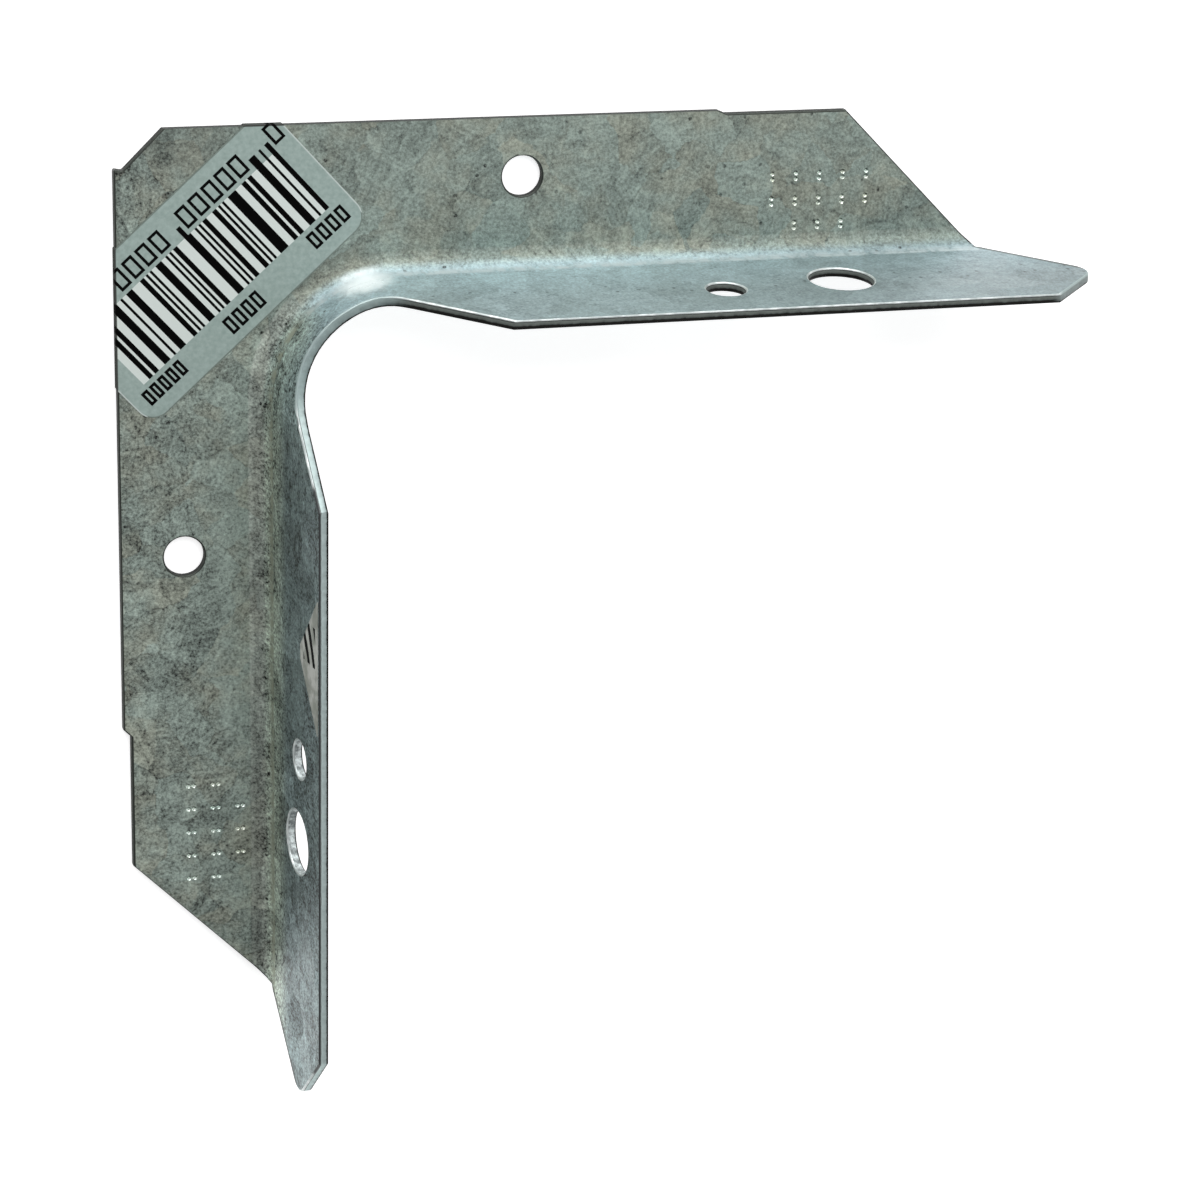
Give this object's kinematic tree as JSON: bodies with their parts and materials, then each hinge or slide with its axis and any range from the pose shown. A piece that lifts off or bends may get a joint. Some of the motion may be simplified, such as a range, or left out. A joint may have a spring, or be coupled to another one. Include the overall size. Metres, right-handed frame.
{
  "type": "timber angle connector",
  "caption": "Folded galvanised steel angle connector: an L-shaped flat web with a flange along its inner edge and screw holes for joining timber at a corner.",
  "frame": {"origin": "on the web's back face, where the lines of the two flanges' outer faces would cross in the inner corner", "axes": "+X along the top leg, -Y along the side leg, +Z out of the web's front, the way the flanges rise"},
  "size_m": [0.118, 0.1182, 0.0208],
  "materials": {
    "galvanised_steel": "hot-dip galvanised sheet with a fine, patchy spangle, satin",
    "label_paper": "matt printed paper"
  },
  "bodies": {
    "root": {"angle_connector": "galvanised_steel", "corner_label": "label_paper", "flange_label": "label_paper"}
  },
  "joints": []
}
